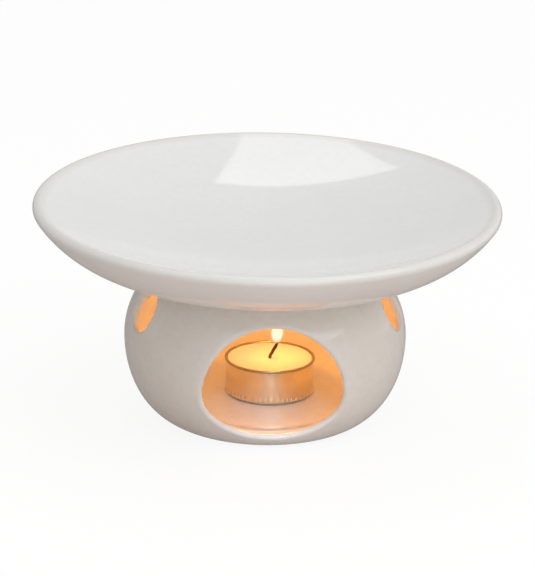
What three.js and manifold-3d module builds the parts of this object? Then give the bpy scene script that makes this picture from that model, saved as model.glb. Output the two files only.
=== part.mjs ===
// A wax warmer: a glazed ceramic body, open in front, with a loose dish on its mouth and a tealight inside.
// Millimetres, +Z up. The origin is on the table under the middle of the body, and the opening faces -Y.
import * as THREE from 'three';
import { mergeVertices } from 'three/addons/utils/BufferGeometryUtils.js';
import Module from 'manifold-3d';

// Body: a squashed globe turned from two ellipse arcs that meet at the belly
const BODY_RADIUS = 60.5;
const BELLY_HEIGHT = 36.9;
const BODY_WALL = 3.4;
const FOOT_RADIUS = 34.8;
const FOOT_WIDTH = 6;
const FOOT_RECESS = 2.5;
const FLOOR_THICKNESS = 4.8;
const FLOOR_FLAT_RADIUS = 34;
const MOUTH_HEIGHT = 70.6;
const MOUTH_RADIUS = 32;
const MOUTH_LAND = 5.2;
const SHOULDER_SWEEP = 67.5;

// Front opening: an egg on its broad end, from just above the inside floor to below the mouth
const OPENING_WIDTH = 59.4;
const OPENING_SILL = 1.4;
const OPENING_SILL_TO_WIDEST = 19.1;
const OPENING_TOP_TO_MOUTH = 13.2;

// Vents: round holes square to the shoulder, spread evenly round the sides and the back
const VENT_COUNT = 4;
const VENT_DIAMETER = 18;
const VENT_TO_MOUTH = 17.1;
const VENT_FROM_FRONT = 72;

// Dish: a heavy plate with a dip like part of a large ball, and a ring underneath that drops into the mouth
const DISH_RADIUS = 100;
const DISH_HEIGHT = 25.4;
const DISH_FLOOR = 5.8;
const DISH_FLAT_RADIUS = 58.7;
const RIM_ROUND_OUTSIDE = 2;
const RIM_ROUND_INSIDE = 3;
const RING_WIDTH = 4;
const RING_DEPTH = 4;
const RING_CLEARANCE = 1;

// Tealight: a thin cup with a rolled rim, set back towards where the inside floor starts to curve up
const TEALIGHT_RADIUS = 19.6;
const TEALIGHT_HEIGHT = 15.9;
const TEALIGHT_TO_CURVE = 6.3;
const TEALIGHT_BEARING = 20.2;
const CUP_WALL = 0.4;
const CUP_CORNER = 1.6;
const RIM_ROLL = 0.6;
const WAX_BELOW_RIM = 1;

// Wick: upright in the wax, then leaning to the right, held by a stamped plate with a neck
const WICK_RADIUS = 0.8;
const WICK_UPRIGHT = 1;
const WICK_LEANING = 7.4;
const WICK_LEAN = 28;
const SUSTAINER_RADIUS = 6;
const SUSTAINER_PLATE = 0.6;
const NECK_WALL = 0.5;
const NECK_HEIGHT = 3;

// Gap between pieces that touch
const SEAT_GAP = 0.3;

// Facets: sides of a full turn, and steps along an arc. An ellipse curve gets two sides to a segment.
const TURNED_SIDES = 56;
const SMALL_SIDES = 32;
const NECK_SIDES = 16;
const VENT_SIDES = 36;
const OPENING_SEGMENTS = 10;
const WICK_SEGMENTS = 5;
const WICK_STEPS = 14;
const ARC_STEPS = 8;
const CORNER_STEPS = 4;

const { degToRad, radToDeg, lerp } = THREE.MathUtils;

// Sizes that follow from the ones above
const floorHeight = FOOT_RECESS + FLOOR_THICKNESS;
const mouthOuterRadius = MOUTH_RADIUS + MOUTH_LAND;
const shoulderSemiR = (BODY_RADIUS - mouthOuterRadius) / (1 - Math.cos(degToRad(SHOULDER_SWEEP)));
const shoulderSemiZ = (MOUTH_HEIGHT - BELLY_HEIGHT) / Math.sin(degToRad(SHOULDER_SWEEP));
const cupInnerRadius = TEALIGHT_RADIUS - 2 * RIM_ROLL;
const cupOuterRadius = cupInnerRadius + CUP_WALL;
const wickBore = WICK_RADIUS + SEAT_GAP;
const neckRadius = wickBore + NECK_WALL;
const sustainerBase = CUP_WALL + SEAT_GAP;
const waxLevel = TEALIGHT_HEIGHT - WAX_BELOW_RIM;

const wasm = await Module();
wasm.setup();

const point = (r, z) => new THREE.Vector2(r, z);

// Points of an ellipse arc centred at (r, z), between two angles in degrees, all moved inwards by inset
function arc(r, z, semiR, semiZ, from, to, steps, inset = 0) {
  const points = [];
  for (let i = 0; i <= steps; i += 1) {
    const angle = degToRad(lerp(from, to, i / steps));
    const outwards = point(Math.cos(angle) / semiR, Math.sin(angle) / semiZ).normalize();
    const onArc = point(r + semiR * Math.cos(angle), z + semiZ * Math.sin(angle));
    points.push(onArc.addScaledVector(outwards, -inset));
  }
  return points;
}

function circleArc(r, z, radius, from, to, steps) {
  return arc(r, z, radius, radius, from, to, steps);
}

// The shoulder between the belly and the mouth, outside (inset 0) or inside (inset of one wall)
function shoulderArc(from, to, inset) {
  const centre = BODY_RADIUS - shoulderSemiR;
  return arc(centre, BELLY_HEIGHT, shoulderSemiR, shoulderSemiZ, from, to, ARC_STEPS, inset);
}

// Turns a profile of radius and height about the Z axis
function turned(profile, sides) {
  return new THREE.LatheGeometry(profile, sides).rotateX(Math.PI / 2);
}

// A closed geometry as a solid to cut: corners merged, and slivers on a lathe's axis dropped
function toSolid(geometry) {
  const bare = geometry.clone();
  bare.deleteAttribute('normal');
  bare.deleteAttribute('uv');
  const merged = mergeVertices(bare);
  const corners = Array.from(merged.index.array);
  const triangles = [];
  for (let i = 0; i < corners.length; i += 3) {
    const triangle = corners.slice(i, i + 3);
    if (new Set(triangle).size === 3) triangles.push(...triangle);
  }
  return new wasm.Manifold(new wasm.Mesh({
    numProp: 3,
    vertProperties: new Float32Array(merged.attributes.position.array),
    triVerts: new Uint32Array(triangles),
  }));
}

function fromSolid(solid) {
  const mesh = solid.getMesh();
  const geometry = new THREE.BufferGeometry();
  geometry.setAttribute('position', new THREE.BufferAttribute(mesh.vertProperties, mesh.numProp));
  geometry.setIndex(new THREE.BufferAttribute(mesh.triVerts, 1));
  geometry.computeVertexNormals();
  return geometry;
}

function bodyProfile() {
  const inside = shoulderArc(SHOULDER_SWEEP, 0, BODY_WALL);
  const footInner = FOOT_RADIUS - FOOT_WIDTH;
  const floorCurve = BODY_RADIUS - BODY_WALL - FLOOR_FLAT_RADIUS;
  const insideHeight = BELLY_HEIGHT - floorHeight;
  return [
    point(0, FOOT_RECESS),
    point(footInner, FOOT_RECESS),
    point(footInner, 0),
    ...arc(FOOT_RADIUS, BELLY_HEIGHT, BODY_RADIUS - FOOT_RADIUS, BELLY_HEIGHT, -90, 0, ARC_STEPS),
    ...shoulderArc(0, SHOULDER_SWEEP, 0).slice(1),
    point(MOUTH_RADIUS, MOUTH_HEIGHT),
    point(MOUTH_RADIUS, inside[0].y),
    ...inside,
    ...arc(FLOOR_FLAT_RADIUS, BELLY_HEIGHT, floorCurve, insideHeight, 0, -90, ARC_STEPS).slice(1),
    point(0, floorHeight),
  ];
}

// The egg outline, drawn in X and Z, run forwards from the middle of the body through its front wall
function openingCut() {
  const halfWidth = OPENING_WIDTH / 2;
  const widest = floorHeight + OPENING_SILL + OPENING_SILL_TO_WIDEST;
  const upperHeight = MOUTH_HEIGHT - OPENING_TOP_TO_MOUTH - widest;
  const outline = new THREE.Shape();
  outline.absellipse(0, widest, halfWidth, OPENING_SILL_TO_WIDEST, Math.PI, 2 * Math.PI);
  outline.absellipse(0, widest, halfWidth, upperHeight, 0, Math.PI);
  const pastWall = BODY_RADIUS + BODY_WALL;
  const options = { depth: pastWall, bevelEnabled: false, curveSegments: OPENING_SEGMENTS };
  return new THREE.ExtrudeGeometry(outline, options).rotateX(Math.PI / 2);
}

// A round hole at one bearing from the front, square to the shoulder at its middle
function ventCut(bearing) {
  const angle = Math.asin((MOUTH_HEIGHT - VENT_TO_MOUTH - BELLY_HEIGHT) / shoulderSemiZ);
  const middle = shoulderArc(radToDeg(angle), SHOULDER_SWEEP, 0)[0];
  const tilt = Math.atan2(Math.sin(angle) / shoulderSemiZ, Math.cos(angle) / shoulderSemiR);
  const radius = VENT_DIAMETER / 2;
  const hole = new THREE.CylinderGeometry(radius, radius, 2 * (BODY_WALL + radius), VENT_SIDES);
  hole.rotateX(-tilt);
  hole.translate(0, -middle.x, middle.y);
  return hole.rotateZ(degToRad(bearing));
}

function bodyGeometry() {
  let solid = toSolid(turned(bodyProfile(), TURNED_SIDES));
  solid = solid.subtract(toSolid(openingCut()));
  for (let i = 0; i < VENT_COUNT; i += 1) {
    const bearing = lerp(VENT_FROM_FRONT, 360 - VENT_FROM_FRONT, i / (VENT_COUNT - 1));
    solid = solid.subtract(toSolid(ventCut(bearing)));
  }
  return fromSolid(solid);
}

// Underside at height 0. Outside, the wall is an arc that leaves the flat level and meets the rim's round.
// Inside, the rim rolls over to the edge of a ball-shaped dip, which is level in the middle.
function dishProfile() {
  const ringOuter = MOUTH_RADIUS - RING_CLEARANCE;
  const ringInner = ringOuter - RING_WIDTH;
  const rim = point(DISH_RADIUS - RIM_ROUND_OUTSIDE, DISH_HEIGHT - RIM_ROUND_OUTSIDE);
  const run = rim.x - DISH_FLAT_RADIUS;
  const bend = (run ** 2 + rim.y ** 2 - RIM_ROUND_OUTSIDE ** 2) / (2 * (rim.y - RIM_ROUND_OUTSIDE));
  const bendEnd = radToDeg(Math.atan2(rim.y - bend, run));
  const slope = 2 * Math.atan2(DISH_HEIGHT - DISH_FLOOR, rim.x);
  const slopeDegrees = radToDeg(slope);
  const dip = rim.x / Math.sin(slope) - RIM_ROUND_INSIDE;
  const rollHeight = DISH_HEIGHT - RIM_ROUND_INSIDE;
  return [
    point(0, 0),
    point(ringInner, 0),
    point(ringInner, -RING_DEPTH),
    point(ringOuter, -RING_DEPTH),
    point(ringOuter, 0),
    ...circleArc(DISH_FLAT_RADIUS, bend, bend, -90, bendEnd, ARC_STEPS),
    ...circleArc(rim.x, rim.y, RIM_ROUND_OUTSIDE, bendEnd, 90, ARC_STEPS).slice(1),
    ...circleArc(rim.x, rollHeight, RIM_ROUND_INSIDE, 90, 90 + slopeDegrees, CORNER_STEPS).slice(1),
    ...circleArc(0, DISH_FLOOR + dip, dip, slopeDegrees - 90, -90, ARC_STEPS).slice(1, -1),
    point(0, DISH_FLOOR),
  ];
}

// Cup wall between two faces, with a rounded bottom corner and the rim rolled outwards into a bead
function cupProfile() {
  const corner = cupOuterRadius - CUP_CORNER;
  const rollRadius = TEALIGHT_RADIUS - RIM_ROLL;
  const rollHeight = TEALIGHT_HEIGHT - RIM_ROLL;
  const rollStart = -radToDeg(Math.acos((cupOuterRadius - rollRadius) / RIM_ROLL));
  return [
    point(0, 0),
    ...circleArc(corner, CUP_CORNER, CUP_CORNER, -90, 0, CORNER_STEPS),
    ...circleArc(rollRadius, rollHeight, RIM_ROLL, rollStart, 180, 2 * CORNER_STEPS),
    ...circleArc(corner, CUP_CORNER, CUP_CORNER - CUP_WALL, 0, -90, CORNER_STEPS),
    point(0, CUP_WALL),
  ];
}

// Cake of wax, hollow at the bottom for the sustainer and bored up the middle for the wick
function waxProfile() {
  const corner = cupOuterRadius - CUP_CORNER;
  const cornerRadius = CUP_CORNER - CUP_WALL - SEAT_GAP;
  const plateTop = sustainerBase + SUSTAINER_PLATE + SEAT_GAP;
  const neckTop = sustainerBase + SUSTAINER_PLATE + NECK_HEIGHT + SEAT_GAP;
  const outline = [
    point(SUSTAINER_RADIUS + SEAT_GAP, sustainerBase),
    ...circleArc(corner, CUP_CORNER, cornerRadius, -90, 0, CORNER_STEPS),
    point(cupInnerRadius - SEAT_GAP, waxLevel),
    point(wickBore, waxLevel),
    point(wickBore, neckTop),
    point(neckRadius + SEAT_GAP, neckTop),
    point(neckRadius + SEAT_GAP, plateTop),
    point(SUSTAINER_RADIUS + SEAT_GAP, plateTop),
  ];
  return [...outline, outline[0].clone()];
}

function sustainerProfile() {
  const neckTop = SUSTAINER_PLATE + NECK_HEIGHT;
  return [
    point(0, 0),
    point(SUSTAINER_RADIUS, 0),
    point(SUSTAINER_RADIUS, SUSTAINER_PLATE),
    point(neckRadius, SUSTAINER_PLATE),
    point(neckRadius, neckTop),
    point(wickBore, neckTop),
    point(wickBore, SUSTAINER_PLATE),
    point(0, SUSTAINER_PLATE),
  ];
}

// A round cord from the sustainer's plate up through the wax, bending over to its lean above it
function wickGeometry() {
  const lean = degToRad(WICK_LEAN);
  const foot = new THREE.Vector3(0, 0, sustainerBase + SUSTAINER_PLATE + SEAT_GAP);
  const surface = new THREE.Vector3(0, 0, waxLevel);
  const knee = new THREE.Vector3(0, 0, waxLevel + WICK_UPRIGHT);
  const tip = new THREE.Vector3(Math.sin(lean), 0, Math.cos(lean)).multiplyScalar(WICK_LEANING).add(knee);
  const path = new THREE.CurvePath();
  path.add(new THREE.LineCurve3(foot, surface));
  path.add(new THREE.QuadraticBezierCurve3(surface, knee, tip));
  const section = new THREE.Shape();
  section.absarc(0, 0, WICK_RADIUS, 0, 2 * Math.PI);
  const options = { steps: WICK_STEPS, curveSegments: WICK_SEGMENTS, extrudePath: path };
  return new THREE.ExtrudeGeometry(section, options);
}

function piece(name, geometry, color, roughness, metalness) {
  const mesh = new THREE.Mesh(geometry, new THREE.MeshStandardMaterial({ color, roughness, metalness }));
  mesh.name = name;
  return mesh;
}

function tealight() {
  const cup = piece('tealight_cup', turned(cupProfile(), SMALL_SIDES), '#cfcac2', 0.3, 1);
  const wax = piece('tealight_wax', turned(waxProfile(), SMALL_SIDES), '#fbeeb4', 0.45, 0);
  const sustainer = piece('wick_sustainer', turned(sustainerProfile(), NECK_SIDES), '#b9b8b4', 0.35, 1);
  const wick = piece('wick', wickGeometry(), '#4b4233', 0.9, 0);
  sustainer.position.z = sustainerBase;
  const group = new THREE.Group();
  group.add(cup, wax, sustainer, wick);
  const reach = FLOOR_FLAT_RADIUS - TEALIGHT_RADIUS - TEALIGHT_TO_CURVE;
  const bearing = degToRad(TEALIGHT_BEARING);
  group.position.set(reach * Math.sin(bearing), reach * Math.cos(bearing), floorHeight + SEAT_GAP);
  return group;
}

const warmer = new THREE.Group();
const body = piece('burner_body', bodyGeometry(), '#efeee8', 0.15, 0);
const dish = piece('wax_dish', turned(dishProfile(), TURNED_SIDES), '#efeee8', 0.15, 0);
dish.position.z = MOUTH_HEIGHT + SEAT_GAP;
warmer.add(body, dish, tealight());

export default warmer;
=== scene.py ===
# %% [markdown]
# This is a ceramic wax warmer: a white glazed globe with a lit tealight inside, and a loose dish on top in
# which scented wax melts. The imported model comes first, as a fixed frame in metres with Z up. It could be
# dressed with materials alone, but a glaze shows every facet, so each solid that is seen gets a finer surface
# in the same place, worked out in millimetres.

# %% Load the frame
import math

import bmesh
import bpy
import numpy as np
from mathutils import Matrix, Vector


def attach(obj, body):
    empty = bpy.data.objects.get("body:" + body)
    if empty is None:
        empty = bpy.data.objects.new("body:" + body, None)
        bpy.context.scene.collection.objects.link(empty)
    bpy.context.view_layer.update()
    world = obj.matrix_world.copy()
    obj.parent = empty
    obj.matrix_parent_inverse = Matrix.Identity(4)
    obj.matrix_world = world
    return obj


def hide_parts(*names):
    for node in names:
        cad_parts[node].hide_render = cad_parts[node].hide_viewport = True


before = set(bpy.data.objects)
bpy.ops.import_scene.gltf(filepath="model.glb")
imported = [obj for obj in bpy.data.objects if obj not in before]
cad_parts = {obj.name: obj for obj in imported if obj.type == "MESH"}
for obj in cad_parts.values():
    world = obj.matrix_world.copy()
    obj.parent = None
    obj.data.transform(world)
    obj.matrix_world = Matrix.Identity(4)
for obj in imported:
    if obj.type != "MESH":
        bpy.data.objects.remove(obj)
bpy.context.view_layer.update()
scene = bpy.context.scene
scene.view_settings.view_transform = "Standard"
MM = 0.001

# %% [markdown]
# The camera stands almost square on and about 20 degrees up, far away behind a long lens, so the dish looks
# nearly like an even ellipse. The picture is tipped a little to the right, which is a roll of the camera. The
# framing could be a lens shift, but moving the camera sideways and up by a few millimetres does the same and
# leaves other views centred.

# %% Camera
VIEW_AZIMUTH = math.radians(-4.25)
VIEW_ELEVATION = math.radians(19.4)
VIEW_ROLL = math.radians(1.06)
VIEW_DISTANCE = 2.0
VIEW_TARGET = Vector((0, 0, 0.05))
VIEW_RIGHT = 0.0008
VIEW_UP = 0.0069
LENS_LENGTH = 291.4
FARTHEST_SEEN = 20.0

level = math.cos(VIEW_ELEVATION)
towards = Vector((math.sin(VIEW_AZIMUTH) * level, -math.cos(VIEW_AZIMUTH) * level, math.sin(VIEW_ELEVATION)))
right = Vector((math.cos(VIEW_AZIMUTH), math.sin(VIEW_AZIMUTH), 0))
above = towards.cross(right)
tipped_right = right * math.cos(VIEW_ROLL) + above * math.sin(VIEW_ROLL)
tipped_above = above * math.cos(VIEW_ROLL) - right * math.sin(VIEW_ROLL)
camera = bpy.data.objects.new("camera", bpy.data.cameras.new("camera"))
camera.data.lens = LENS_LENGTH
camera.data.clip_end = FARTHEST_SEEN
place = VIEW_TARGET + towards * VIEW_DISTANCE + tipped_right * VIEW_RIGHT + tipped_above * VIEW_UP
turn = Matrix((tipped_right, tipped_above, towards)).transposed().to_4x4()
camera.matrix_world = Matrix.Translation(place) @ turn
scene.collection.objects.link(camera)
scene.camera = camera
print("camera at", [round(v, 4) for v in place])

# %% [markdown]
# Every piece is an array of points and an array of faces. One helper puts them into a mesh, merges the points
# that meet at a pole or seam, turns the faces outwards, and says which body the piece rides on and which
# solid it stands for. A second one numbers the faces of a grid that closes on itself. Round pieces come from
# a profile of arcs and lines that is carried round the upright axis, as a potter's wheel does.

# %% Points and faces into a piece
MERGE_DISTANCE = 1e-7


def make_piece(name, points, faces, body, node=None):
    """Mesh object at the origin from points in millimetres and faces by number, riding on a body."""
    mesh = bpy.data.meshes.new(name)
    mesh.from_pydata((points.reshape(-1, 3) * MM).tolist(), [], faces.tolist())
    shell = bmesh.new()
    shell.from_mesh(mesh)
    bmesh.ops.remove_doubles(shell, verts=shell.verts, dist=MERGE_DISTANCE)
    bmesh.ops.recalc_face_normals(shell, faces=shell.faces)
    shell.to_mesh(mesh)
    shell.free()
    mesh.shade_smooth()
    piece = bpy.data.objects.new(name, mesh)
    scene.collection.objects.link(piece)
    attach(piece, body)
    if node:
        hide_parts(node)
    print(name, len(mesh.vertices), "points", len(mesh.polygons), "faces")
    return piece


def grid_faces(rows, sides):
    """Four corners of each face between one row of a grid and the next, closing on itself round the row."""
    row = np.arange(rows - 1)[:, None]
    side = np.arange(sides)[None, :]
    after = (side + 1) % sides
    corners = [row * sides + side, row * sides + after, (row + 1) * sides + after, (row + 1) * sides + side]
    return np.stack(corners, -1).reshape(-1, 4)


# %% Profiles to turn
def arc(centre, radius, start, end, steps):
    """Points on a circle: centre plus radius times (cos a, sin a), with a from start to end in degrees."""
    angle = np.radians(np.linspace(start, end, steps))
    return np.stack([centre[0] + radius * np.cos(angle), centre[1] + radius * np.sin(angle)], -1)


def line(start, end, spacing):
    """Points from start to end in equal steps, each about as long as spacing."""
    steps = max(2, round(math.dist(start, end) / spacing) + 1)
    return np.linspace(start, end, steps)


def full_turn(sides):
    """Angles of the sides of a full turn, in radians."""
    return np.arange(sides) * 2 * np.pi / sides


def turned(profile, sides):
    """Profile of (radius, height) carried round Z: the point (r cos t, r sin t, z) for each angle t."""
    angle = full_turn(sides)
    radius, height = profile[:, :1], profile[:, 1:]
    return np.stack([radius * np.cos(angle), radius * np.sin(angle), height + 0 * angle], -1)


# %% [markdown]
# The burner is slip cast: a thin globe with an egg-shaped opening in front, round vents on the shoulders and
# an open mouth, and the glaze rounds every edge. A lathe gives the globe but not the cut edges, and cutting a
# mesh leaves slivers that a glaze shows. So the wall is written as one distance formula, negative inside the
# clay, whose edges are rounded by an arc, and the surface is drawn where the formula is zero.

# %% Distance formulas
NEAR_ZERO = 1e-6


def egg_distance(across, along, semi_across, semi_along):
    """Distance from an ellipse, about k0 (k0 - 1) / k1: k0 is the length of the point divided by the
    semi-axes, and k1 the length of the point divided by their squares."""
    k0 = np.hypot(across / semi_across, along / semi_along)
    k1 = np.hypot(across / semi_across**2, along / semi_along**2)
    return k0 * (k0 - 1) / np.maximum(k1, NEAR_ZERO)


def round_max(one, other, radius):
    """Larger of two distances, with an arc of the given radius where both are near zero."""
    arc_part = np.hypot(np.maximum(one + radius, 0), np.maximum(other + radius, 0))
    return np.minimum(np.maximum(one, other), -radius) + arc_part


# %% [markdown]
# The sizes are those of the solid, in millimetres. The globe is two ellipse arcs that meet at the belly: one
# rises from the foot, and the other is the shoulder, which stops at the flat land round the mouth. The rest
# follows from these, such as how far a vent is tilted to be square to the shoulder.

# %% Sizes of the burner
BODY_RADIUS = 60.5
BELLY_HEIGHT = 36.9
BODY_WALL = 3.4
FOOT_RADIUS = 34.8
FOOT_WIDTH = 6.0
FOOT_RECESS = 2.5
FLOOR_THICKNESS = 4.8
FLOOR_FLAT = 34.0
MOUTH_HEIGHT = 70.6
MOUTH_RADIUS = 32.0
MOUTH_LAND = 5.2
SHOULDER_SWEEP = math.radians(67.5)
OPENING_WIDTH = 59.4
OPENING_SILL = 1.4
SILL_TO_WIDEST = 19.1
OPENING_TOP_TO_MOUTH = 13.2
VENT_COUNT = 4
VENT_RADIUS = 9.0
VENT_TO_MOUTH = 17.1
VENT_FROM_FRONT = 72

foot_inner = FOOT_RADIUS - FOOT_WIDTH
floor_height = FOOT_RECESS + FLOOR_THICKNESS
shoulder_run = (BODY_RADIUS - MOUTH_RADIUS - MOUTH_LAND) / (1 - math.cos(SHOULDER_SWEEP))
shoulder_rise = (MOUTH_HEIGHT - BELLY_HEIGHT) / math.sin(SHOULDER_SWEEP)
shoulder_centre = BODY_RADIUS - shoulder_run


def shoulder_tilt(angle):
    """How far the shoulder faces up at an angle a of its ellipse: the arc tangent of (sin a / rise) over
    (cos a / run)."""
    return math.atan2(math.sin(angle) / shoulder_rise, math.cos(angle) / shoulder_run)


lip_underside = MOUTH_HEIGHT - BODY_WALL * math.sin(shoulder_tilt(SHOULDER_SWEEP))
opening_widest = floor_height + OPENING_SILL + SILL_TO_WIDEST
opening_up = MOUTH_HEIGHT - OPENING_TOP_TO_MOUTH - opening_widest
vent_up = MOUTH_HEIGHT - VENT_TO_MOUTH
vent_angle = math.asin((vent_up - BELLY_HEIGHT) / shoulder_rise)
vent_out = shoulder_centre + shoulder_run * math.cos(vent_angle)
vent_tilt = shoulder_tilt(vent_angle)
vent_bearings = np.radians(np.linspace(VENT_FROM_FRONT, 360 - VENT_FROM_FRONT, VENT_COUNT))
print("vents", round(vent_out, 2), "mm out, tilted", round(math.degrees(vent_tilt), 2), "degrees")

# %% The burner's wall
EDGE_ROUND = 2.2
VENT_ROUND = 0.8
LIP_ROUND = 1.6
FOOT_ROUND = 0.8
WAVE_HEIGHT = 0.07
WAVE_ACROSS, WAVE_DEEP, WAVE_UP = 9, 11, 8
WAVE_START = 20


def casting_wave(x, y, z):
    """Faint waves in the cast skin: the product of a sine along each axis, fading out towards the foot."""
    wave = np.sin(x / WAVE_ACROSS + 1) * np.sin(y / WAVE_DEEP) * np.sin(z / WAVE_UP)
    return WAVE_HEIGHT * wave * np.clip(z / WAVE_START, 0, 1)


def vent_distance(point, bearing):
    """Distance from a round hole: from its axis less its radius, as far in as the hole is wide."""
    out = np.array([math.sin(bearing), -math.cos(bearing), 0])
    up = np.array([0, 0, 1])
    axis = out * math.cos(vent_tilt) + up * math.sin(vent_tilt)
    offset = point - (out * vent_out + up * vent_up)
    depth = offset @ axis
    from_axis = np.sqrt(np.maximum((offset**2).sum(-1) - depth**2, 0))
    return np.maximum(from_axis - VENT_RADIUS, -depth - 2 * VENT_RADIUS)


def body_distance(point):
    """Globe less its chamber, mouth, foot recess, opening and vents, each edge rounded, in millimetres."""
    x, y, z = np.moveaxis(point, -1, 0)
    r = np.hypot(x, y)
    low = z < BELLY_HEIGHT
    rise = z - BELLY_HEIGHT
    centre = np.where(low, FOOT_RADIUS, shoulder_centre)
    skin = egg_distance(np.maximum(r - centre, 0), rise, BODY_RADIUS - centre,
                        np.where(low, BELLY_HEIGHT, shoulder_rise))
    bowl = egg_distance(np.maximum(r - FLOOR_FLAT, 0), rise, BODY_RADIUS - BODY_WALL - FLOOR_FLAT,
                        BELLY_HEIGHT - floor_height)
    chamber = np.maximum(np.where(low, bowl, skin + BODY_WALL), z - lip_underside)
    hollow = np.minimum(chamber, np.maximum(r - MOUTH_RADIUS, BELLY_HEIGHT - z))
    clay = round_max(skin + casting_wave(x, y, z), z - MOUTH_HEIGHT, LIP_ROUND)
    clay = round_max(clay, -hollow, LIP_ROUND)
    clay = round_max(clay, -np.maximum(r - foot_inner, z - FOOT_RECESS), FOOT_ROUND)
    half_height = np.where(z < opening_widest, SILL_TO_WIDEST, opening_up)
    opening = egg_distance(x, z - opening_widest, OPENING_WIDTH / 2, half_height)
    clay = round_max(clay, -np.maximum(opening, y + MOUTH_RADIUS / 2), EDGE_ROUND)
    for bearing in vent_bearings:
        clay = round_max(clay, -vent_distance(point, bearing), VENT_ROUND)
    return clay


# %% [markdown]
# A surface is found from its distance formula on a grid: wherever the formula changes sign along an edge of
# the grid, the surface crosses that edge. The faces then follow the grid in small steps that a glaze would
# show, so every point is moved to the middle of its neighbours and back onto the surface, a few times over.

# %% Surface where a distance is zero
SLOPE_STEP = 0.02
LEAST_SLOPE = 0.2
PULLS = 3


def level_surface(distance, low, high, step):
    """One point in each grid cell that the surface crosses, the mean of its crossings of the cell's edges,
    and one face across each grid edge whose two ends lie on different sides."""
    axes = [np.arange(start, end + step, step) for start, end in zip(low, high)]
    value = distance(np.stack(np.meshgrid(*axes, indexing="ij"), -1))
    size = np.array(value.shape)
    strides = np.array([size[1] * size[2], size[2], 1])
    total = np.zeros((value.size, 3))
    count = np.zeros(value.size)
    quads = []
    for axis in range(3):
        ends = [np.take(value, np.arange(shift, size[axis] - 1 + shift), axis) for shift in (0, 1)]
        cell = np.argwhere((ends[0] < 0) != (ends[1] < 0))
        first, second = ends[0][tuple(cell.T)], ends[1][tuple(cell.T)]
        crossing = cell.astype(float)
        crossing[:, axis] += first / (first - second)
        one, two = strides[np.roll(np.arange(3), -axis)[1:]]
        here = cell @ strides
        ring = np.stack([here, here - one, here - one - two, here - two], -1)
        for corner in ring.T:
            count += np.bincount(corner, minlength=value.size)
            for part in range(3):
                total[:, part] += np.bincount(corner, crossing[:, part], value.size)
        quads.append(np.where((first < 0)[:, None], ring, ring[:, ::-1]))
    used = np.flatnonzero(count)
    number = np.zeros(value.size, int)
    number[used] = np.arange(len(used))
    points = np.array(low) + step * total[used] / count[used, None]
    return points, number[np.concatenate(quads)]


def settle(points, faces, distance, turns):
    """Evens a surface out: each point goes to the mean of its faces' middles, then back along the slope of
    the distance to where it is zero."""
    uses = np.bincount(faces.ravel(), minlength=len(points))[:, None]
    for _ in range(turns):
        middle = np.repeat(points[faces].mean(1), 4, axis=0)
        spread = [np.bincount(faces.ravel(), middle[:, part], len(points)) for part in range(3)]
        points = np.stack(spread, -1) / uses
        for _ in range(PULLS):
            here = distance(points)
            moved = [distance(points + nudge) for nudge in SLOPE_STEP * np.eye(3)]
            slope = (np.stack(moved, -1) - here[:, None]) / SLOPE_STEP
            steepness = np.maximum((slope**2).sum(-1, keepdims=True), LEAST_SLOPE)
            points = points - here[:, None] * slope / steepness
    return points


# %% The burner
BODY_GRID = 1.0
SETTLE_TURNS = 5
MARGIN = 3.0

reach = BODY_RADIUS + MARGIN
body_points, body_faces = level_surface(body_distance, (-reach, -reach, -MARGIN),
                                        (reach, reach, MOUTH_HEIGHT + MARGIN), BODY_GRID)
body_points = settle(body_points, body_faces, body_distance, SETTLE_TURNS)
body = make_piece("glazed_burner", body_points, body_faces, "burner_body", "burner_body")

# %% [markdown]
# The dish is a second casting that lies loose on the mouth. Inside it is a shallow dip, part of a large ball,
# so a lamp behind it shows as one clear patch. A narrow rim rounds over from the dip to the outside, and a
# low ring underneath keeps the dish from sliding off. It is round all over, so one profile turned about Z
# makes it. The profile is drawn with arcs, so that even the small corners have a radius for light to catch.

# %% The dish
SEAT_GAP = 0.3
DISH_RADIUS = 100.0
DISH_HEIGHT = 25.4
DISH_FLOOR = 5.8
DISH_FLAT = 58.7
RIM_OUTSIDE = 2.5
RIM_INSIDE = 3.0
RING_CLEARANCE = 1.0
RING_WIDTH = 4.0
RING_DROP = 4.0
RING_ROUND = 0.9
DISH_SIDES = 432

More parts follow.
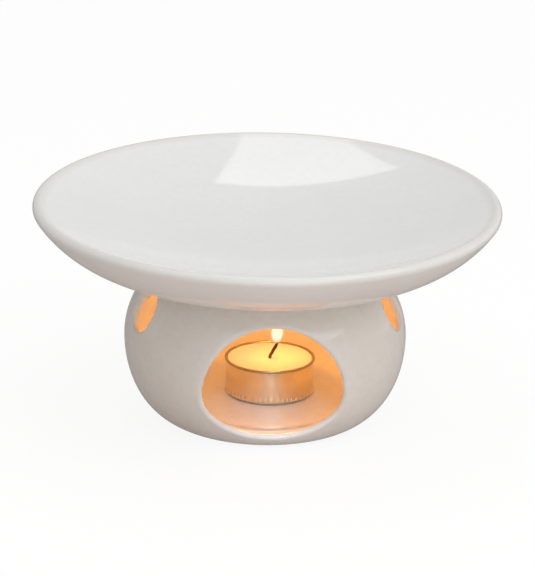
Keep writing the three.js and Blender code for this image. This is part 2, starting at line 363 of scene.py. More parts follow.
dish_base = MOUTH_HEIGHT + SEAT_GAP
dish_top = dish_base + DISH_HEIGHT
floor_top = dish_base + DISH_FLOOR
rim_at = DISH_RADIUS - RIM_OUTSIDE
rim_up = DISH_HEIGHT - RIM_OUTSIDE
rim_run = rim_at - DISH_FLAT
bend = (rim_run**2 + rim_up**2 - RIM_OUTSIDE**2) / (2 * (rim_up - RIM_OUTSIDE))
bend_end = math.degrees(math.atan2(rim_up - bend, rim_run))
dip_edge = 2 * math.degrees(math.atan2(DISH_HEIGHT - DISH_FLOOR, rim_at))
dip = rim_at / math.sin(math.radians(dip_edge)) - RIM_INSIDE
ring_outer = MOUTH_RADIUS - RING_CLEARANCE
ring_inner = ring_outer - RING_WIDTH
under = dish_base - RING_ROUND
ring_low = dish_base - RING_DROP + RING_ROUND
dish_profile = np.concatenate([
    arc((0, floor_top + dip), dip, -90, dip_edge - 90, steps=80)[:-1],
    arc((rim_at, dish_top - RIM_INSIDE), RIM_INSIDE, 90 + dip_edge, 90, steps=14)[:-1],
    arc((rim_at, dish_top - RIM_OUTSIDE), RIM_OUTSIDE, 90, bend_end, steps=18)[:-1],
    arc((DISH_FLAT, dish_base + bend), bend, bend_end, -90, steps=40)[:-1],
    line((DISH_FLAT, dish_base), (ring_outer + RING_ROUND, dish_base), spacing=2.5)[:-1],
    arc((ring_outer + RING_ROUND, under), RING_ROUND, 90, 180, steps=7),
    arc((ring_outer - RING_ROUND, ring_low), RING_ROUND, 0, -90, steps=7),
    arc((ring_inner + RING_ROUND, ring_low), RING_ROUND, -90, -180, steps=7),
    arc((ring_inner - RING_ROUND, under), RING_ROUND, 0, 90, steps=7),
    line((ring_inner - RING_ROUND, dish_base), (0, dish_base), spacing=2.5)[1:],
])
dish = make_piece("glazed_dish", turned(dish_profile, DISH_SIDES), grid_faces(len(dish_profile), DISH_SIDES),
                  "wax_dish", "wax_dish")
print("dip of the dish: part of a ball of radius", round(dip, 1), "mm")

# %% [markdown]
# The tealight's cup is drawn from thin aluminium sheet. Drawing gathers the sheet into small pleats round the
# bottom corner, and the rim is rolled outwards so that it isn't sharp. The cup is a turned profile again, and
# the pleats are a wave in its radius that fades out up the wall and over the bottom. Slower waves push the
# pleats to and fro and let them swell, so that they are uneven. The cup stands on the flat of the floor.

# %% The cup
TEALIGHT_RADIUS = 19.6
TEALIGHT_HEIGHT = 15.9
TEALIGHT_TO_CURVE = 6.3
TEALIGHT_BEARING = math.radians(20.2)
CUP_WALL = 0.4
CUP_CORNER = 1.6
RIM_ROLL = 0.6
CUP_SIDES = 360

set_back = FLOOR_FLAT - TEALIGHT_RADIUS - TEALIGHT_TO_CURVE
tealight_base = floor_height + SEAT_GAP
tealight_place = np.array([
    set_back * math.sin(TEALIGHT_BEARING), set_back * math.cos(TEALIGHT_BEARING), tealight_base])
cup_inner = TEALIGHT_RADIUS - 2 * RIM_ROLL
cup_outer = cup_inner + CUP_WALL
corner_centre = (cup_outer - CUP_CORNER, CUP_CORNER)
roll_centre = (TEALIGHT_RADIUS - RIM_ROLL, TEALIGHT_HEIGHT - RIM_ROLL)
roll_start = -math.degrees(math.acos((cup_outer - roll_centre[0]) / RIM_ROLL))
rim = arc(roll_centre, RIM_ROLL, roll_start, 180, steps=18)
cup_profile = np.concatenate([
    line((0, 0), (corner_centre[0], 0), spacing=1.5)[:-1],
    arc(corner_centre, CUP_CORNER, -90, 0, steps=9)[:-1],
    line((cup_outer, CUP_CORNER), tuple(rim[0]), spacing=0.6)[:-1],
    rim,
    line(tuple(rim[-1]), (cup_inner, CUP_CORNER), spacing=0.6)[1:-1],
    arc(corner_centre, CUP_CORNER - CUP_WALL, 0, -90, steps=9),
    line((corner_centre[0], CUP_WALL), (0, CUP_WALL), spacing=1.5)[1:],
])
print("tealight at", tealight_place.round(3))

# %% Pleats round the cup
PLEATS = 46
PLEAT_DEPTH = 0.75
PLEAT_HEIGHT = 1.1
PLEAT_SPREAD = 1.2
PLEAT_EDGE = 8


def pleat_wave(angle):
    """Sine of the pleats' count times the angle, plus two slow sines that shift it, times a slow swell."""
    shift = 1.6 * np.sin(5 * angle) + 1.1 * np.sin(11 * angle + 1)
    swell = 0.55 + 0.45 * np.sin(3 * angle + 2) * np.sin(7 * angle)
    return np.sin(PLEATS * angle + shift) * swell


cup_points = turned(cup_profile, CUP_SIDES)
up_wall = np.exp(-((cup_profile[:, 1] - PLEAT_HEIGHT) / PLEAT_SPREAD) ** 2)
over_bottom = np.clip(cup_profile[:, 0] / cup_outer, 0, 1) ** PLEAT_EDGE
pleat = PLEAT_DEPTH * (up_wall * over_bottom)[:, None] * pleat_wave(full_turn(CUP_SIDES))
cup_points[..., :2] *= (1 + pleat / cup_outer)[..., None]
cup = make_piece("drawn_cup", cup_points + tealight_place, grid_faces(len(cup_profile), CUP_SIDES),
                 "tealight", "tealight_cup")

# %% [markdown]
# The wax has burned long enough to melt right across, so its top is a liquid pool: level, a little dished
# under the flame, and drawn up in a thin curve at the wall of the cup and at the wick. Those three curves are
# added as functions of the radius to a turned profile.

# %% The wax
WAX_BELOW_RIM = 1.0
POOL_DIP, POOL_DIP_SPREAD = 0.3, 8
WALL_CREEP, WALL_CREEP_SPREAD = 0.45, 0.7
WICK_CREEP, WICK_CREEP_SPREAD = 0.5, 1.4
POOL_STEPS = 60
WAX_SIDES = 180

wax_radius = cup_inner - SEAT_GAP
wax_base = CUP_WALL + SEAT_GAP
wax_level = TEALIGHT_HEIGHT - WAX_BELOW_RIM
wax_corner = CUP_CORNER - CUP_WALL - SEAT_GAP
pool_radius = np.linspace(wax_radius, 0, POOL_STEPS)
pool = wax_level - POOL_DIP * np.exp(-((pool_radius / POOL_DIP_SPREAD) ** 2))
pool += WALL_CREEP * np.exp((pool_radius - wax_radius) / WALL_CREEP_SPREAD)
pool += WICK_CREEP * np.exp(-pool_radius / WICK_CREEP_SPREAD)
wax_profile = np.concatenate([
    line((0, wax_base), (wax_radius - wax_corner, wax_base), spacing=2)[:-1],
    arc((wax_radius - wax_corner, wax_base + wax_corner), wax_corner, -90, 0, steps=7)[:-1],
    line((wax_radius, wax_base + wax_corner), (wax_radius, pool[0]), spacing=1.5)[:-1],
    np.stack([pool_radius, pool], -1),
])
wax = make_piece("melted_wax", turned(wax_profile, WAX_SIDES) + tealight_place,
                 grid_faces(len(wax_profile), WAX_SIDES), "tealight", "tealight_wax")

# %% [markdown]
# The wick is braided cotton. It stands up out of the wax and leans to one side, and its end is burned thin. A
# bevelled curve would be smooth, so the tube is worked out as a circle carried along a path, with two waves
# that wind opposite ways round it for the crossing strands.

# %% The wick
WICK_RADIUS = 0.68
WICK_FOOT = 4.0
WICK_UPRIGHT = 0.8
WICK_LENGTH = 7.4
WICK_LEAN = math.radians(28)
WICK_BEND = 2.4
STRANDS = 3
STRAND_RELIEF = 0.1
STRAND_PITCH = 3.0
TIP_TAPER = 2.2
FOOT_TAPER = 0.3
WICK_STEPS = 150
WICK_SIDES = 28

to_knee = wax_level + WICK_UPRIGHT - WICK_FOOT
along = np.linspace(0, to_knee + WICK_LENGTH, WICK_STEPS)
lean = WICK_LEAN * np.clip((along - to_knee) / WICK_BEND + 0.5, 0, 1)
stride = along[1] - along[0]
path_x = np.cumsum(np.sin(lean)) * stride
path_z = WICK_FOOT + np.cumsum(np.cos(lean)) * stride
round_wick = full_turn(WICK_SIDES)
twist = 2 * np.pi * along[:, None] / STRAND_PITCH
strands = sum(np.abs(np.sin((STRANDS * round_wick + way * twist) / 2)) for way in (1, -1))
taper = np.sqrt(np.clip((along[-1] - along) / TIP_TAPER, 0, 1)) * np.clip(along / FOOT_TAPER, 0, 1)
radius = (WICK_RADIUS - STRAND_RELIEF + STRAND_RELIEF * strands) * taper[:, None]
wick_points = np.stack([
    path_x[:, None] + radius * np.cos(round_wick) * np.cos(lean)[:, None],
    radius * np.sin(round_wick),
    path_z[:, None] - radius * np.cos(round_wick) * np.sin(lean)[:, None],
], -1)
wick = make_piece("braided_wick", wick_points + tealight_place, grid_faces(WICK_STEPS, WICK_SIDES),
                  "tealight", "wick")
wick_tip = tealight_place + [path_x[-1], 0, path_z[-1]]
print("wick tip", wick_tip.round(2))

# %% [markdown]
# The flame is glowing soot in hot gas, not a solid, but it is what lights the warmer. A volume would be true
# to life and slow, so it is two teardrop shells instead: a bright core, and a thin outer veil that lets the
# core show through. The radius of a teardrop is the square root of the height times a power of what is left
# of it. The flame leans on the draught, so its tip sways a little to the right. A flame casts no shadow, so
# neither do the shells.

# %% The flame
FLAME_FOOT = 28.6
FLAME_HEIGHT = 17.0
FLAME_WIDTH = 6.4
FLAME_SWAY = 0.5
FLAME_LEFT_OF_TIP = 0.6
CORE_NARROWER = 1.4
CORE_SHORTER = 3.2
CORE_RAISED = 0.7
FLAME_ROWS = 60
FLAME_SIDES = 48


def teardrop(width, height, foot):
    """Turned shell with radius w/2 times (t^0.5 (1-t)^0.8), scaled to reach w/2 where it is widest, and
    pushed to the right by the sway times t squared. Here t is the share of the height."""
    share = (1 - np.cos(np.linspace(0, np.pi, FLAME_ROWS))) / 2
    bulge = share**0.5 * (1 - share) ** 0.8
    profile = np.stack([width / 2 * bulge / bulge.max(), foot + height * share], -1)
    points = turned(profile, FLAME_SIDES)
    points[..., 0] += FLAME_SWAY * share[:, None] ** 2
    return points


flame_place = np.array([wick_tip[0] - FLAME_LEFT_OF_TIP, wick_tip[1], 0])
flame_faces = grid_faces(FLAME_ROWS, FLAME_SIDES)
veil_points = teardrop(FLAME_WIDTH, FLAME_HEIGHT, FLAME_FOOT)
core_points = teardrop(FLAME_WIDTH - CORE_NARROWER, FLAME_HEIGHT - CORE_SHORTER, FLAME_FOOT + CORE_RAISED)
veil = make_piece("flame_veil", veil_points + flame_place, flame_faces, "tealight")
core = make_piece("flame_core", core_points + flame_place, flame_faces, "tealight")
for shell in (veil, core):
    shell.visible_shadow = False

# %% [markdown]
# Materials are node trees. Colours are written as the eye sees them, in sRGB hex, and one function turns them
# into the linear values that light is worked out in. One small function adds a node with its settings and its
# links, which keeps each tree a short list. A Mix node has its share at input 0, two numbers at 2 and 3, and
# two colours at 6 and 7, and its mixed colour comes out at 2.

# %% Colour and node helpers
def colour(code):
    """Linear RGBA of an sRGB hex code: v / 12.92 for dark values, else ((v + 0.055) / 1.055) ^ 2.4."""
    parts = np.array([int(code[i:i + 2], 16) / 255 for i in (1, 3, 5)])
    linear = np.where(parts <= 0.04045, parts / 12.92, ((parts + 0.055) / 1.055) ** 2.4)
    return (*linear.tolist(), 1.0)


def add(tree, kind, inputs=None, **settings):
    """New node of a kind, with its settings, and its inputs set to a value or linked from another socket."""
    made = tree.nodes.new(kind)
    for name, value in settings.items():
        setattr(made, name, value)
    for key, value in (inputs or {}).items():
        if isinstance(value, bpy.types.NodeSocket):
            tree.links.new(value, made.inputs[key])
        else:
            made.inputs[key].default_value = value
    return made


def new_material(name):
    """Empty node tree with an output, and the Object coordinates that patterns are measured in."""
    material = bpy.data.materials.new(name)
    material.use_nodes = True
    tree = material.node_tree
    tree.nodes.clear()
    output = tree.nodes.new("ShaderNodeOutputMaterial")
    place = tree.nodes.new("ShaderNodeTexCoord").outputs["Object"]
    print("material", name)
    return material, tree, output.inputs["Surface"], place


def per_mm(size):
    """Texture scale that gives one feature in each size millimetres."""
    return 1 / (size * MM)


# %% [markdown]
# Both castings have the same white tin glaze: a layer of glass over pale clay. The eye gets a sharp sheen
# over a soft white. The glaze flows as it melts, so its face has long, shallow waves and a faint orange peel,
# and its white drifts by a shade from place to place. Along the highest edge the white is darkened towards
# grey, a painted shade that tones down the bright highlight there. The hollow dish mirrors itself again and
# again at flat angles, and a renderer stops after a few turns and leaves black there. So on the dish a
# reflection of a reflection is matt.

# %% Glazed earthenware
CREST_SHADE_GREY = "#DEDBD4"
CREST_SHADE_BAND = 1.4
CREST_SHADE_SHARE = 0.6
DRIFT_SHARE = 0.75
SHADE_LOW, SHADE_HIGH = 0.65, 1.1
DULLEST = 1.6
GLASS_IOR = 1.5


def glazed_earthenware(name, white, deep, polish, crest, blunt):
    """White glaze: a colour that drifts between deep and white over 30 mm and is darkened by a painted shade
    in a band below the crest, two sizes of ripple, and a roughness of polish that goes up by blunt with each
    reflection."""
    material, tree, surface, place = new_material(name)
    drift = add(tree, "ShaderNodeTexNoise", {"Vector": place, "Scale": per_mm(30), "Detail": 2})
    speck = add(tree, "ShaderNodeTexNoise", {"Vector": place, "Scale": per_mm(3), "Detail": 3})
    blend = add(tree, "ShaderNodeMath", {0: drift.outputs["Fac"], 1: DRIFT_SHARE, 2: speck.outputs["Fac"]},
                operation="MULTIPLY_ADD")
    shade = add(tree, "ShaderNodeMapRange", {
        "Value": blend.outputs[0], "From Min": SHADE_LOW, "From Max": SHADE_HIGH})
    tint = add(tree, "ShaderNodeMix", {0: shade.outputs[0], 6: colour(deep), 7: colour(white)},
               data_type="RGBA")
    height = add(tree, "ShaderNodeSeparateXYZ", {0: place}).outputs["Z"]
    # Painted shade: in the band below the crest the white is darkened towards grey, to tone down the
    # highlight on the rim.
    crest_shade = add(tree, "ShaderNodeMapRange", {
        "Value": height, "From Min": (crest - CREST_SHADE_BAND) * MM, "From Max": crest * MM, "To Max": CREST_SHADE_SHARE})
    shaded_tint = add(tree, "ShaderNodeMix", {0: crest_shade.outputs[0], 6: tint.outputs[2], 7: colour(CREST_SHADE_GREY)},
               data_type="RGBA")
    flow = add(tree, "ShaderNodeTexNoise", {"Vector": place, "Scale": per_mm(14), "Detail": 1})
    peel = add(tree, "ShaderNodeTexNoise", {"Vector": place, "Scale": per_mm(2.2), "Detail": 1})
    waves = add(tree, "ShaderNodeBump", {
        "Strength": 0.05, "Distance": 0.4 * MM, "Height": flow.outputs["Fac"]})
    ripple = add(tree, "ShaderNodeBump", {
        "Strength": 0.02, "Distance": 0.1 * MM, "Height": peel.outputs["Fac"], "Normal": waves.outputs[0]})
    gloss = add(tree, "ShaderNodeMapRange", {
        "Value": speck.outputs["Fac"], "To Min": polish, "To Max": DULLEST * polish})
    bounce = add(tree, "ShaderNodeLightPath").outputs["Glossy Depth"]
    rough = add(tree, "ShaderNodeMath", {0: bounce, 1: blunt, 2: gloss.outputs[0]},
                operation="MULTIPLY_ADD", use_clamp=True)
    glaze = add(tree, "ShaderNodeBsdfPrincipled", {
        "Base Color": shaded_tint.outputs[2], "Roughness": rough.outputs[0], "IOR": GLASS_IOR,
        "Normal": ripple.outputs[0]})
    tree.links.new(glaze.outputs[0], surface)
    return material


body.data.materials.append(
    glazed_earthenware("white_glaze_body", "#F1EFEA", "#ECE9E3", polish=0.06, crest=MOUTH_HEIGHT, blunt=0.0))
dish.data.materials.append(
    glazed_earthenware("white_glaze_dish", "#F0F1F0", "#EDEEED", polish=0.04, crest=dish_top, blunt=1.0))

# %% [markdown]
# Glaze would stick to the kiln shelf, so the ring that the body stands on is wiped bare. Bare fired clay is
# matt, a little yellow and grainy, with a grain that is drawn coarser than it is so that it shows. It could
# be a band in the glaze's own tree, but a second material on the lowest faces leaves both trees simple.

# %% Bare fired clay
BARE_HEIGHT = 0.5
BARE_MARGIN = 1.0


def fired_clay():
    """Matt clay with a grain of about half a millimetre in its colour and its face."""
    material, tree, surface, place = new_material("bare_fired_clay")
    grain = add(tree, "ShaderNodeTexNoise", {"Vector": place, "Scale": per_mm(0.6), "Detail": 4})
    tint = add(tree, "ShaderNodeMix", {0: grain.outputs["Fac"], 6: colour("#D9CFBD"), 7: colour("#EDE6D8")},
               data_type="RGBA")
    pits = add(tree, "ShaderNodeBump", {
        "Strength": 0.4, "Distance": 0.15 * MM, "Height": grain.outputs["Fac"]})
    clay = add(tree, "ShaderNodeBsdfPrincipled", {
        "Base Color": tint.outputs[2], "Roughness": 0.85, "Normal": pits.outputs[0]})
    tree.links.new(clay.outputs[0], surface)
    return material


body.data.materials.append(fired_clay())
middles = np.empty(len(body.data.polygons) * 3)
body.data.polygons.foreach_get("center", middles)
middles = middles.reshape(-1, 3) / MM
from_centre = np.hypot(middles[:, 0], middles[:, 1])
bare = (middles[:, 2] < BARE_HEIGHT) & (from_centre < FOOT_RADIUS + BARE_MARGIN)
body.data.polygons.foreach_set("material_index", bare.astype(np.int32))
print("bare faces on the foot", int(bare.sum()))

# %% [markdown]
# The cup is bright drawn aluminium. Drawing leaves fine upright scratches, which stretch highlights sideways.
# In candle light the metal turns orange because it mirrors the glowing walls, and its colours are warmer
# than bare aluminium, a painted reflection that adds to that orange. A noise that is stretched up the cup
# gives the scratches. Real ones are too fine to show, so they are drawn 0.7 mm apart. A coarser noise gives
# the sheet its small dents. On the rolled rim the metal turns a darker brown.

# %% Drawn aluminium
SCRATCH_STRETCH = 0.06
RIM_BROWN_EDGE = 0.3

aluminium, tree, surface, place = new_material("drawn_aluminium")
stretch = add(tree, "ShaderNodeMapping", {"Vector": place, "Scale": (1, 1, SCRATCH_STRETCH)})
scratch = add(tree, "ShaderNodeTexNoise", {"Vector": stretch.outputs[0], "Scale": per_mm(0.7), "Detail": 3})
dent = add(tree, "ShaderNodeTexNoise", {"Vector": place, "Scale": per_mm(5), "Detail": 1})
dull = add(tree, "ShaderNodeMapRange", {"Value": scratch.outputs["Fac"], "To Min": 0.15, "To Max": 0.24})
dents = add(tree, "ShaderNodeBump", {"Strength": 0.12, "Distance": 0.3 * MM, "Height": dent.outputs["Fac"]})
lines = add(tree, "ShaderNodeBump", {
    "Strength": 0.08, "Distance": 0.06 * MM, "Height": scratch.outputs["Fac"], "Normal": dents.outputs[0]})
# Painted reflection: both colours are warm, which adds orange beyond what the metal mirrors.
tint = add(tree, "ShaderNodeMix", {0: scratch.outputs["Fac"], 6: colour("#E4D4BA"), 7: colour("#EEDFC6")},
           data_type="RGBA")
height = add(tree, "ShaderNodeSeparateXYZ", {0: place}).outputs["Z"]
# The rolled rim is a darker brown, from the foot of the roll upwards.
roll_foot = tealight_base + TEALIGHT_HEIGHT - 2 * RIM_ROLL
rim_brown = add(tree, "ShaderNodeMapRange", {
    "Value": height, "From Min": roll_foot * MM, "From Max": (roll_foot + RIM_BROWN_EDGE) * MM})
rim_browned = add(tree, "ShaderNodeMix", {0: rim_brown.outputs[0], 6: tint.outputs[2], 7: colour("#B0A17C")},
             data_type="RGBA")
metal = add(tree, "ShaderNodeBsdfPrincipled", {
    "Base Color": rim_browned.outputs[2], "Metallic": 1.0, "Roughness": dull.outputs[0],
    "Normal": lines.outputs[0]})
tree.links.new(metal.outputs[0], surface)
cup.data.materials.append(aluminium)

# %% [markdown]
# Paraffin is cloudy when it is solid and clear when it melts, and light from the flame soaks into it. The eye
# gets a yellow glow round the wick that turns to orange at the cup. Light below the surface does part of
# that, and a weak glow that falls off with the distance from the wick stands for the light that the flame
# puts into the pool.

# %% Paraffin wax
GLOW_START = 4
GLOW_END = 19
GLOW_WANDER = 3
PARAFFIN_IOR = 1.44
SOAK_DEPTH = 5

paraffin, tree, surface, place = new_material("melted_paraffin")
pool_middle = Vector(tealight_place + [0, 0, wax_level]) * MM
centred = add(tree, "ShaderNodeVectorMath", {0: place, 1: pool_middle}, operation="SUBTRACT")
spread = add(tree, "ShaderNodeVectorMath", {0: centred.outputs[0]}, operation="LENGTH")
swirl = add(tree, "ShaderNodeTexNoise", {"Vector": place, "Scale": per_mm(7), "Detail": 2})
wander = add(tree, "ShaderNodeMath", {
    0: swirl.outputs["Fac"], 1: GLOW_WANDER * MM, 2: spread.outputs["Value"]}, operation="MULTIPLY_ADD")
edge = add(tree, "ShaderNodeMapRange", {
    "Value": wander.outputs[0], "From Min": GLOW_START * MM, "From Max": GLOW_END * MM})
tint = add(tree, "ShaderNodeMix", {0: edge.outputs[0], 6: colour("#F3D7D2"), 7: colour("#F3D4CA")},
           data_type="RGBA")
glow = add(tree, "ShaderNodeMix", {0: edge.outputs[0], 6: colour("#E0CAB8"), 7: colour("#DAB892")},
           data_type="RGBA")
wax_body = add(tree, "ShaderNodeBsdfPrincipled", {
    "Base Color": tint.outputs[2], "Roughness": 0.16, "IOR": PARAFFIN_IOR, "Subsurface Weight": 0.6,
    "Subsurface Radius": (1.0, 0.55, 0.25), "Subsurface Scale": SOAK_DEPTH * MM,
    "Emission Color": glow.outputs[2], "Emission Strength": 0.2})
tree.links.new(wax_body.outputs[0], surface)
wax.data.materials.append(paraffin)

# %% [markdown]
# The wick is cotton soaked with wax, brown where it leaves the pool and charred black at the end. The colour
# follows the height, and a fine noise makes the line between the two ragged, as fibres char one by one. The
# fibres are drawn 0.5 mm apart, which is coarser than real ones, so that they show.

# %% Cotton, charred at the end
CHAR_END = 30
CHAR_RAGGED = 2.4

cotton, tree, surface, place = new_material("charred_cotton")
height = add(tree, "ShaderNodeSeparateXYZ", {0: place}).outputs["Z"]
fibre = add(tree, "ShaderNodeTexNoise", {"Vector": place, "Scale": per_mm(0.5), "Detail": 3})
ragged = add(tree, "ShaderNodeMath", {0: fibre.outputs["Fac"], 1: CHAR_RAGGED * MM, 2: height},
             operation="MULTIPLY_ADD")
burned = add(tree, "ShaderNodeMapRange", {
    "Value": ragged.outputs[0], "From Min": pool_middle.z, "From Max": CHAR_END * MM})
tint = add(tree, "ShaderNodeMix", {0: burned.outputs[0], 6: colour("#6E5A32"), 7: colour("#15110D")},
           data_type="RGBA")
fuzz = add(tree, "ShaderNodeBump", {"Strength": 0.5, "Distance": 0.2 * MM, "Height": fibre.outputs["Fac"]})
thread = add(tree, "ShaderNodeBsdfPrincipled", {
    "Base Color": tint.outputs[2], "Roughness": 0.8, "Normal": fuzz.outputs[0]})
tree.links.new(thread.outputs[0], surface)
wick.data.materials.append(cotton)

# %% [markdown]
# The wick's sustainer is a small stamped plate of tinned steel at the bottom of the wax. Its solid is right
# as it is, so it only gets a finish: a soft metal sheen, cloudy as tin is.

# %% Tinned steel
tinplate, tree, surface, place = new_material("stamped_tinplate")
cloud = add(tree, "ShaderNodeTexNoise", {"Vector": place, "Scale": per_mm(1.2), "Detail": 3})
dull = add(tree, "ShaderNodeMapRange", {"Value": cloud.outputs["Fac"], "To Min": 0.28, "To Max": 0.5})
tint = add(tree, "ShaderNodeMix", {0: cloud.outputs["Fac"], 6: colour("#A8A8A4"), 7: colour("#C8C8C4")},
           data_type="RGBA")
steel = add(tree, "ShaderNodeBsdfPrincipled", {
    "Base Color": tint.outputs[2], "Metallic": 1.0, "Roughness": dull.outputs[0]})
tree.links.new(steel.outputs[0], surface)
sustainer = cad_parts["wick_sustainer"]
sustainer.data.materials.clear()
sustainer.data.materials.append(tinplate)

# %% [markdown]
# A candle flame is clear at its foot, where the vapour burns clean, and white to yellow above, where soot
# glows. Both shells only give off light. Their colour follows the height, they fade out towards the foot and
# the outline, where there is less gas to look through, and the veil is see-through all over.

# %% Flame
FOOT_END = 4
HEART_END = 6


def flame_glow(name, foot_colour, heart_colour, tip_colour, strength, solid):
    """Glow whose colour goes from foot to heart to tip with the height; solid is how much it hides."""
    material, tree, surface, place = new_material(name)
    height = add(tree, "ShaderNodeSeparateXYZ", {0: place}).outputs["Z"]
    lower = add(tree, "ShaderNodeMapRange", {
        "Value": height, "From Min": FLAME_FOOT * MM, "From Max": (FLAME_FOOT + FOOT_END) * MM})
    upper = add(tree, "ShaderNodeMapRange", {
        "Value": height, "From Min": (FLAME_FOOT + HEART_END) * MM,
        "From Max": (FLAME_FOOT + FLAME_HEIGHT) * MM})
    warm = add(tree, "ShaderNodeMix", {0: lower.outputs[0], 6: colour(foot_colour), 7: colour(heart_colour)},
               data_type="RGBA")
    tint = add(tree, "ShaderNodeMix", {0: upper.outputs[0], 6: warm.outputs[2], 7: colour(tip_colour)},
               data_type="RGBA")
    facing = add(tree, "ShaderNodeLayerWeight", {"Blend": 0.5}).outputs["Facing"]
    thick = add(tree, "ShaderNodeMapRange", {
        "Value": facing, "From Min": 0.95, "From Max": 0.35, "To Max": solid})
    hides = add(tree, "ShaderNodeMath", {0: thick.outputs[0], 1: lower.outputs[0]}, operation="MULTIPLY")
    fire = add(tree, "ShaderNodeBsdfPrincipled", {
        "Base Color": (0, 0, 0, 1), "Roughness": 1.0, "Specular IOR Level": 0.0, "Alpha": hides.outputs[0],
        "Emission Color": tint.outputs[2], "Emission Strength": strength})
    tree.links.new(fire.outputs[0], surface)
    return material


veil.data.materials.append(
    flame_glow("flame_outer_gas", "#B98A4A", "#FFD890", "#FFB450", strength=1.0, solid=0.35))
core.data.materials.append(
    flame_glow("flame_glowing_soot", "#FFE9B0", "#FFFBE4", "#FFE09A", strength=1.2, solid=1.0))

# %% [markdown]
# The flame fills the chamber with orange light, which also shows through the vents and the seam under the
# dish. The glowing shells could give it, but so small a glow leaves grain in a render. A small warm lamp in
# the heart of the flame gives most of it instead, and moves with the tealight.

# %% Flame light
FLAME_POWER = 0.0345
HEART_RIGHT = 0.2
HEART_UP = 12
FLAME_LAMP_RADIUS = 3

lamp = bpy.data.lights.new("flame_light", "POINT")
lamp.energy = FLAME_POWER
lamp.color = colour("#FFA22C")[:3]
lamp.shadow_soft_size = FLAME_LAMP_RADIUS * MM
flame_light = bpy.data.objects.new("flame_light", lamp)
scene.collection.objects.link(flame_light)
flame_light.location = (flame_place + [HEART_RIGHT, 0, FLAME_FOOT + HEART_UP]) * MM
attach(flame_light, "tealight")
print("flame light", FLAME_POWER, "W at", [round(v, 4) for v in flame_light.location])

# %% [markdown]
# The room's light comes from four soft boxes, which are lamps behind cloth. One hangs overhead. A tall,
# narrow one stands high up behind, and is what the dish mirrors as a clear patch. A large one at the right
# and a low, wide one in front light the body. Points of light would be simpler, but a glaze mirrors the shape
# of each lamp, so they are rectangles with an even brightness.

# %% Studio light
def aim_lamp(name, lamp, centre, target):
    """Lamp object at a centre, turned so that its beam points at the target, both in metres."""
    light = bpy.data.objects.new(name, lamp)
    scene.collection.objects.link(light)
    light.location = centre
    light.rotation_euler = (Vector(target) - Vector(centre)).to_track_quat("-Z", "Y").to_euler()
    print(name, round(lamp.energy, 2), "W")


def soft_box(name, centre, target, width, depth, radiance):
    """Rectangular area lamp with an even brightness: its power is radiance times pi times its area."""
    lamp = bpy.data.lights.new(name, "AREA")
    lamp.shape = "RECTANGLE"
    lamp.size, lamp.size_y = width, depth
    lamp.energy = radiance * math.pi * width * depth
    aim_lamp(name, lamp, centre, target)


soft_box("overhead_box", (-0.1, -0.1, 1.3), (-0.1, -0.1, 0), width=1.3, depth=1.0, radiance=1.05)
soft_box("back_box", (0, 1.0, 1.55), (0, 0, 1.55), width=0.34, depth=1.0, radiance=1.65)
soft_box("right_box", (1.05, -0.85, 1.4), (0, 0, 0.04), width=1.3, depth=1.3, radiance=1.5)
soft_box("front_box", (0.1, -1.8, 0.35), (0, 0, 0.05), width=2.0, depth=0.5, radiance=1.52)

# %% [markdown]
# Just inside the opening, the front of the floor is paler than the flame alone would make it. A snoot, a lamp
# with a narrow tube in front of it, puts a small patch of cool light there. It is a spot lamp whose cone is
# as narrow as the patch.

# %% Snoot
SNOOT_POWER = 52
SNOOT_CONE = math.radians(2.3)
SNOOT_RADIUS = 0.02
SNOOT_PLACE = (0, -1.405, 0.98)
FRONT_OF_FLOOR = (0, -0.036, 0.006)

lamp = bpy.data.lights.new("snoot", "SPOT")
lamp.energy = SNOOT_POWER
lamp.color = colour("#CFE3FF")[:3]
lamp.spot_size = SNOOT_CONE
lamp.spot_blend = 1.0
lamp.shadow_soft_size = SNOOT_RADIUS
aim_lamp("snoot", lamp, SNOOT_PLACE, FRONT_OF_FLOOR)

# %% [markdown]
# The room round the warmer is pale. Low down it is dimmer on the left than on the right, and higher up it is
# even. Behind the warmer stands white paper, which is all that is seen of the room, and the glaze mirrors
# some of it. Walls and paper could be built, but a world whose brightness follows the direction gives the
# same with no edges.

# %% World
HIGH_FILL = 0.5
LEFT_FILL = 0.19
RIGHT_FILL = 0.63
PAPER_WHITE = 0.985
PAPER_MIRRORED = 0.55

world = bpy.data.worlds.new("white_room")
scene.world = world
world.use_nodes = True
tree = world.node_tree
tree.nodes.clear()
path = add(tree, "ShaderNodeLightPath").outputs
direction = add(tree, "ShaderNodeTexCoord").outputs["Generated"]
way = add(tree, "ShaderNodeSeparateXYZ", {0: direction}).outputs
near_floor = add(tree, "ShaderNodeMapRange", {"Value": way["Z"], "From Min": 0.5, "From Max": 0.15})
to_right = add(tree, "ShaderNodeMapRange", {
    "Value": way["X"], "From Min": -0.9, "From Max": 0.9, "To Min": LEFT_FILL, "To Max": RIGHT_FILL})
fill = add(tree, "ShaderNodeMix", {0: near_floor.outputs[0], 2: HIGH_FILL, 3: to_right.outputs[0]})
behind = add(tree, "ShaderNodeMapRange", {"Value": way["Y"], "From Min": 0.0, "From Max": 0.3})
paper_top = add(tree, "ShaderNodeMapRange", {
    "Value": way["Z"], "From Min": 0.6, "From Max": 0.1, "To Max": PAPER_MIRRORED})
sweep = add(tree, "ShaderNodeMath", {0: paper_top.outputs[0], 1: behind.outputs[0]}, operation="MULTIPLY")
mirrored = add(tree, "ShaderNodeMath", {0: path["Is Glossy Ray"], 1: sweep.outputs[0]}, operation="MULTIPLY")
direct = add(tree, "ShaderNodeMath", {0: path["Is Camera Ray"], 1: path["Is Transmission Ray"]},
             operation="MAXIMUM")
seen = add(tree, "ShaderNodeMath", {0: direct.outputs[0], 1: mirrored.outputs[0]}, operation="MAXIMUM")
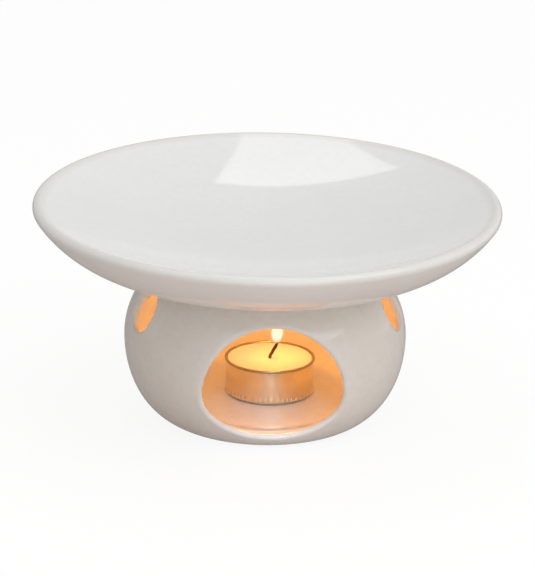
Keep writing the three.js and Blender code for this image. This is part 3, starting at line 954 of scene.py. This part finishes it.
strength = add(tree, "ShaderNodeMix", {0: seen.outputs[0], 2: fill.outputs[0], 3: PAPER_WHITE})
air = add(tree, "ShaderNodeMix", {0: seen.outputs[0], 6: colour("#FFFDFB"), 7: colour("#FFFFFF")},
          data_type="RGBA")
backdrop = add(tree, "ShaderNodeBackground", {"Color": air.outputs[2], "Strength": strength.outputs[0]})
tree.links.new(backdrop.outputs[0], add(tree, "ShaderNodeOutputWorld").inputs["Surface"])
print("world fill", LEFT_FILL, "on the left to", RIGHT_FILL, "on the right")

# %% [markdown]
# The warmer stands on the same white paper. To the eye the paper is so bright that only a faint shadow is
# left under the warmer. Lamps strong enough for that would burn out the glaze, so the paper itself glows,
# over a dark grey that takes the shadow. Light that bounces off it meets plain paper with a warm tint, and
# the glaze mirrors a weaker glow.

# %% Floor
FLOOR_SIZE = 6.0
FLOOR_GLOW = 0.9
FLOOR_MIRRORED = 0.28

corners = np.array([[-1, -1, 0], [1, -1, 0], [1, 1, 0], [-1, 1, 0]]) * FLOOR_SIZE / 2
floor_mesh = bpy.data.meshes.new("floor")
floor_mesh.from_pydata(corners.tolist(), [], [(0, 1, 2, 3)])
floor = bpy.data.objects.new("floor", floor_mesh)
scene.collection.objects.link(floor)
paper, tree, surface, _ = new_material("white_paper_sweep")
path = add(tree, "ShaderNodeLightPath").outputs
direct = add(tree, "ShaderNodeMath", {0: path["Is Camera Ray"], 1: path["Is Transmission Ray"]},
             operation="MAXIMUM")
shown = add(tree, "ShaderNodeMath", {0: direct.outputs[0], 1: path["Is Glossy Ray"]}, operation="MAXIMUM")
tint = add(tree, "ShaderNodeMix", {0: shown.outputs[0], 6: colour("#DECFC6"), 7: colour("#5E5E5E")},
           data_type="RGBA")
sheet = add(tree, "ShaderNodeBsdfDiffuse", {"Color": tint.outputs[2]})
mirrored = add(tree, "ShaderNodeMath", {0: path["Is Glossy Ray"], 1: FLOOR_MIRRORED}, operation="MULTIPLY")
glow = add(tree, "ShaderNodeMath", {0: direct.outputs[0], 1: FLOOR_GLOW, 2: mirrored.outputs[0]},
           operation="MULTIPLY_ADD")
light = add(tree, "ShaderNodeEmission", {"Color": colour("#FFFFFF"), "Strength": glow.outputs[0]})
both = add(tree, "ShaderNodeAddShader", {0: sheet.outputs[0], 1: light.outputs[0]})
tree.links.new(both.outputs[0], surface)
floor_mesh.materials.append(paper)
print("floor", FLOOR_SIZE, "m wide")
